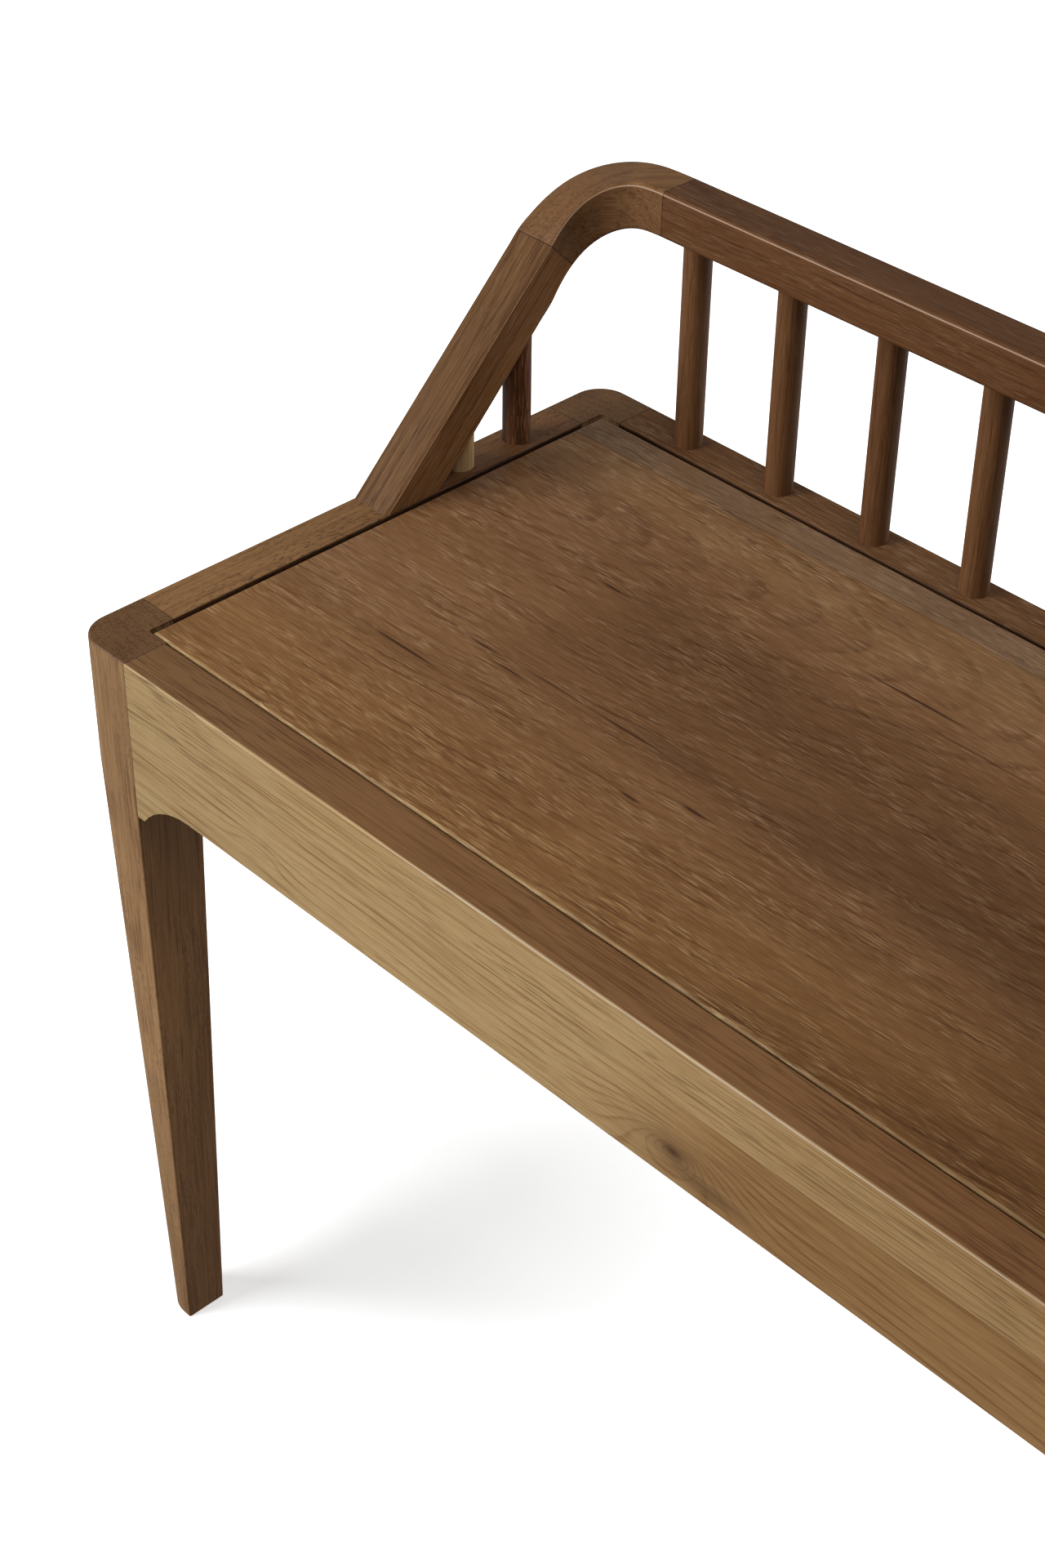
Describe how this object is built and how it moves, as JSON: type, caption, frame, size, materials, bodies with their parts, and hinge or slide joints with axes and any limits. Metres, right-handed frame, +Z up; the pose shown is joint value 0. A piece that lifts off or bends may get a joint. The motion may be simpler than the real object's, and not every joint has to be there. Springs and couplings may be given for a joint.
{
  "type": "spindle bench",
  "caption": "Long wooden bench with a flush framed seat, tapered legs and a low spindle back whose top rail bends at the corners into sloping arms.",
  "frame": {"origin": "on the floor, under the middle of the bench", "axes": "+X along the bench to the right seen from the front, +Y from the front to the back, +Z up"},
  "size_m": [1.23, 0.35, 0.6],
  "materials": {
    "seat_wood": "oiled, open grain",
    "frame_wood": "oiled, open grain",
    "front_wood": "oiled, open grain",
    "leg_wood": "oiled, open grain",
    "back_wood": "oiled, open grain",
    "spindle_wood": "oiled, open grain",
    "hidden_wood": "planed, unfinished",
    "dowel_wood": "turned, unfinished",
    "screw_steel": "zinc plated"
  },
  "bodies": {
    "root": {"arm_foot_dowels": "dowel_wood", "arm_head_dowels": "dowel_wood", "arm_left": "back_wood", "arm_right": "back_wood", "back_rail": "frame_wood", "back_spindle_01": "spindle_wood", "back_spindle_02": "spindle_wood", "back_spindle_03": "spindle_wood", "back_spindle_04": "spindle_wood", "back_spindle_05": "spindle_wood", "back_spindle_06": "spindle_wood", "back_spindle_07": "spindle_wood", "back_spindle_08": "spindle_wood", "back_spindle_09": "spindle_wood", "back_spindle_10": "spindle_wood", "back_spindle_11": "spindle_wood", "back_spindle_12": "spindle_wood", "back_spindle_13": "spindle_wood", "back_spindle_14": "spindle_wood", "back_spindle_15": "spindle_wood", "back_spindle_16": "spindle_wood", "back_spindle_17": "spindle_wood", "back_spindle_18": "spindle_wood", "cleat_screws": "screw_steel", "front_rail_lower": "front_wood", "front_rail_upper": "front_wood", "leg_back_left": "leg_wood", "leg_back_right": "leg_wood", "leg_front_left": "leg_wood", "leg_front_right": "leg_wood", "seat_batten_left": "hidden_wood", "seat_batten_right": "hidden_wood", "seat_board_back": "seat_wood", "seat_board_main": "seat_wood", "seat_cleat_back": "hidden_wood", "seat_cleat_front": "hidden_wood", "seat_cleat_left": "hidden_wood", "seat_cleat_right": "hidden_wood", "seat_screws": "screw_steel", "side_rail_left": "frame_wood", "side_rail_right": "frame_wood", "side_spindle_left_1": "spindle_wood", "side_spindle_left_2": "spindle_wood", "side_spindle_right_1": "spindle_wood", "side_spindle_right_2": "spindle_wood", "top_corner_left": "back_wood", "top_corner_right": "back_wood", "top_rail": "back_wood", "top_rail_dowels": "dowel_wood"}
  },
  "joints": []
}
